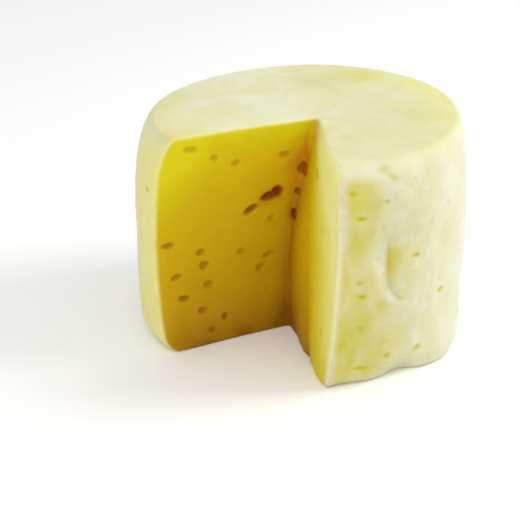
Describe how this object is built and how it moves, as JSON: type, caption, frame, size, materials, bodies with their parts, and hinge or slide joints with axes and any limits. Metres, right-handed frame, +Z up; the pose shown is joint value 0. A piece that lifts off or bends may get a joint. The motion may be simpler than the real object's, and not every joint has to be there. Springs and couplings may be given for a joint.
{
  "type": "hard cheese wheel",
  "caption": "Tall wheel of hard, aged, pale yellow cheese with a wedge cut out, so that the eyes in its deeper yellow paste show. It rests on its flat base.",
  "frame": {"origin": "on the surface that the wheel rests on, under the middle of its bounding box", "axes": "+Z up from the base to the top, the cut-out opens towards -X and -Y, its left wall runs roughly along -X and its right wall roughly along -Y"},
  "size_m": [0.2119, 0.2083, 0.144],
  "materials": {
    "cheese": "matte, slightly waxy rind, pale yellow, over deeper yellow cut paste"
  },
  "bodies": {
    "root": {"cheese_wheel": "cheese"}
  },
  "joints": []
}
